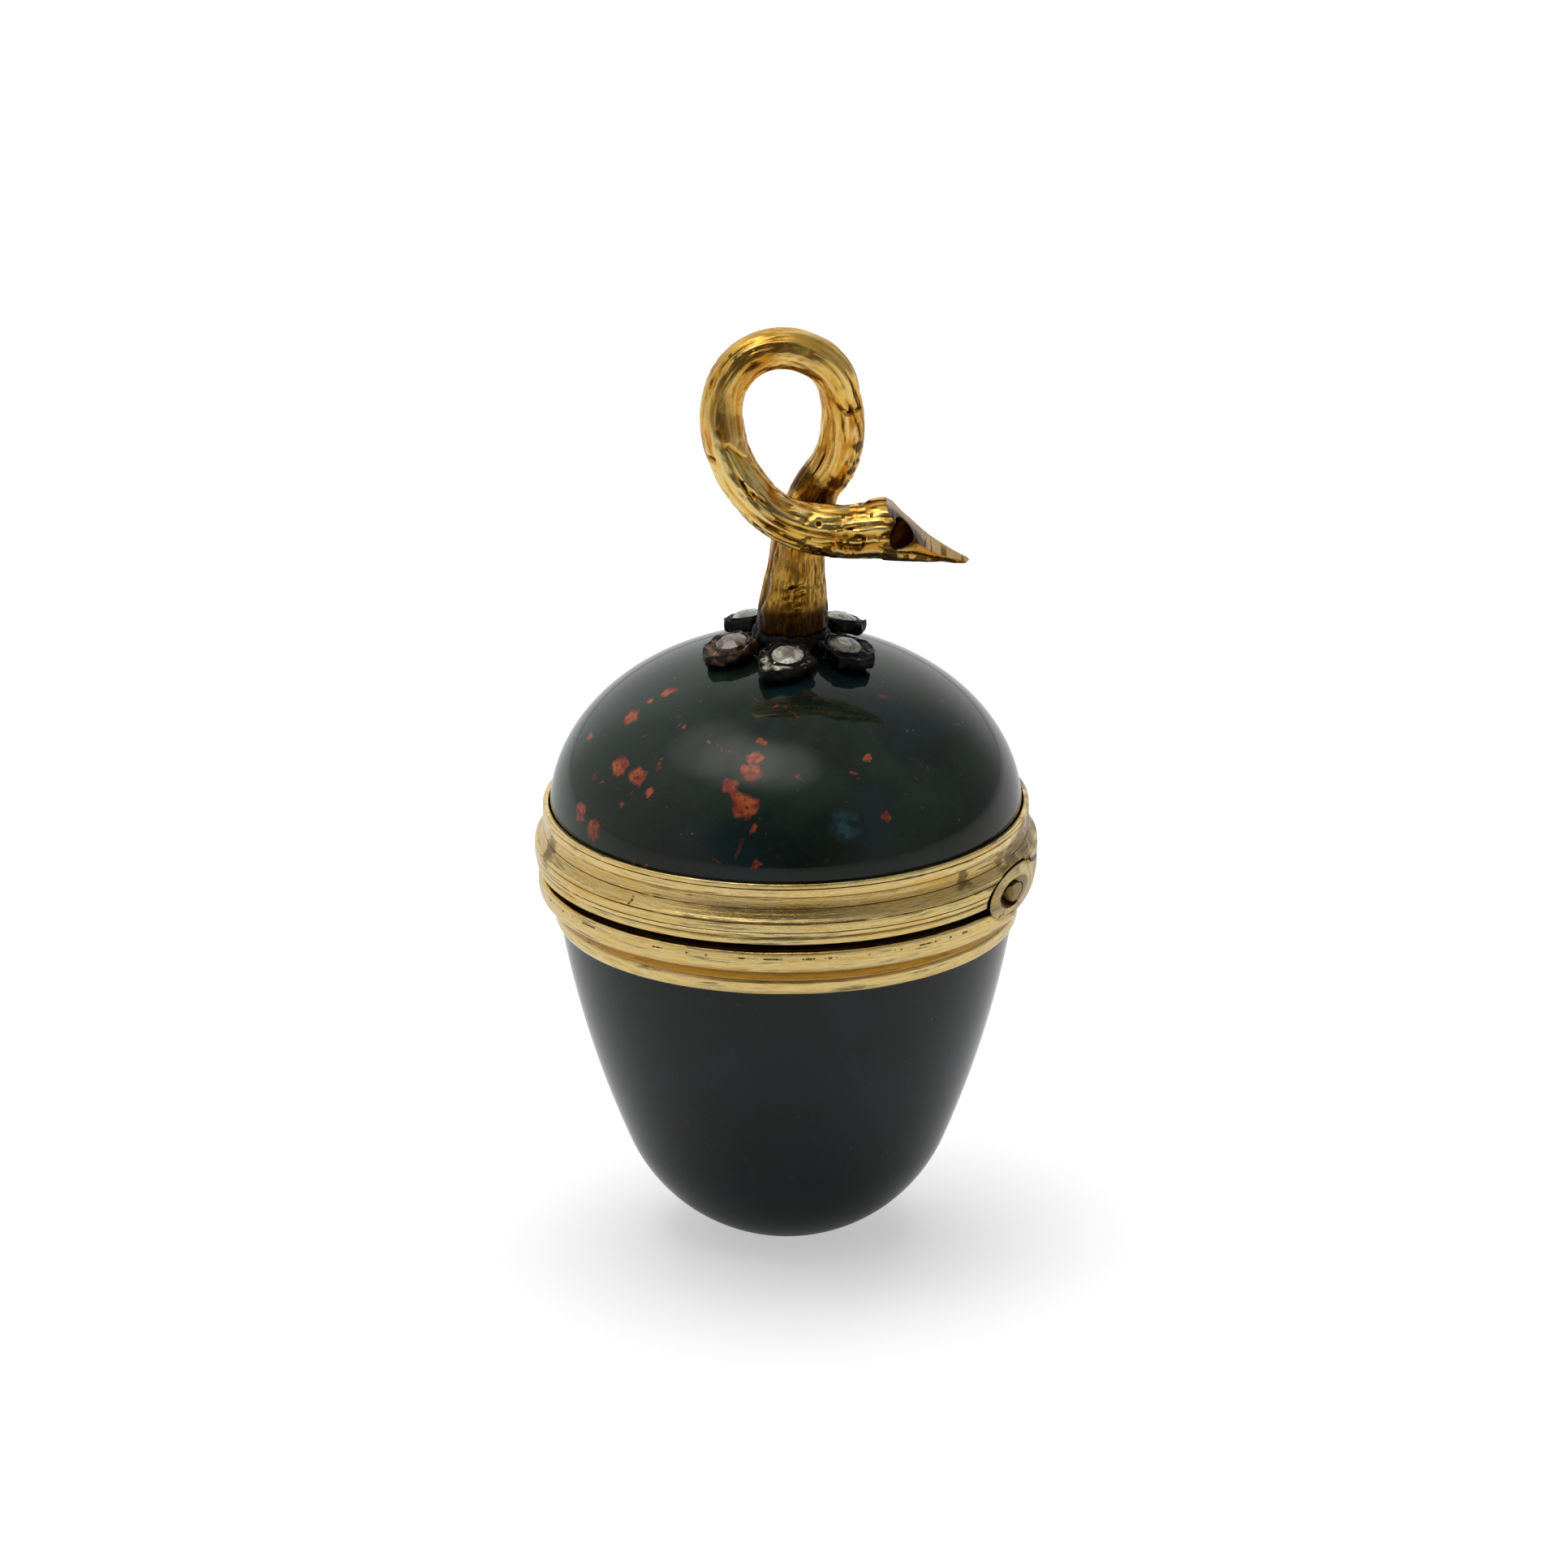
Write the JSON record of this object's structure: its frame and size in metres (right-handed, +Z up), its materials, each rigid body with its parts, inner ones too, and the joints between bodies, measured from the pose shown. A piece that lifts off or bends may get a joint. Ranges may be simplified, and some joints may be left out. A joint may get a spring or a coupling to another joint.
{
  "type": "vinaigrette",
  "caption": "Acorn-shaped scent box: hardstone cup and domed lid in hinged gold mounts, a pierced inner grille over a sponge, a calyx of leaves and a looped twig handle.",
  "frame": {"origin": "centre of the small ground foot under the cup", "axes": "+Z up along the box's axis; the hinge is on the +X side; the handle's crossing strand and the front are towards -Y"},
  "size_m": [0.0268, 0.0268, 0.0507],
  "materials": {
    "bloodstone": "polished near-black green stone with red flecks",
    "gold": "worn yellow gold, chased on the handle",
    "silver": "blackened silver",
    "rose_stone": "rose-cut pale stones, flat backed",
    "sponge": "natural sponge"
  },
  "bodies": {
    "cup": {"cup_stone": "bloodstone", "cup_mount": "gold", "cup_bezel": "gold", "sponge": "sponge", "hinge_knuckle_front": "gold", "hinge_knuckle_back": "gold", "hinge_pin": "gold", "grille_seat": "gold", "grille_knuckle_front": "gold", "grille_knuckle_back": "gold", "grille_pin": "gold"},
    "grille": {"grille_frame": "gold", "grille_plate": "gold", "grille_knuckle_middle": "gold", "grille_tab": "gold"},
    "lid": {"lid_stone": "bloodstone", "lid_mount": "gold", "lid_liner": "gold", "hinge_knuckle_lid": "gold", "calyx_collar": "silver", "calyx_leaf_1": "silver", "calyx_leaf_2": "silver", "calyx_leaf_3": "silver", "calyx_leaf_4": "silver", "calyx_leaf_5": "silver", "calyx_leaf_6": "silver", "rose_stone_1": "rose_stone", "rose_stone_2": "rose_stone", "rose_stone_3": "rose_stone", "rose_stone_4": "rose_stone", "rose_stone_5": "rose_stone", "rose_stone_6": "rose_stone", "twig_handle": "gold", "handle_washer": "gold", "handle_nut": "gold"}
  },
  "joints": [
    {"name": "lid_hinge", "type": "hinge", "parent": "cup", "child": "lid", "pos_m": [0.01207, 0, 0.0206], "axis": [0, 1, 0], "range_deg": [0, 100]},
    {"name": "grille_hinge", "type": "hinge", "parent": "cup", "child": "grille", "pos_m": [0.00839, 0, 0.02063], "axis": [0, 1, 0], "range_deg": [0, 80]}
  ],
  "couplings": [
    {"joint": "grille_hinge", "follows": "lid_hinge", "ratio": 0.8}
  ]
}
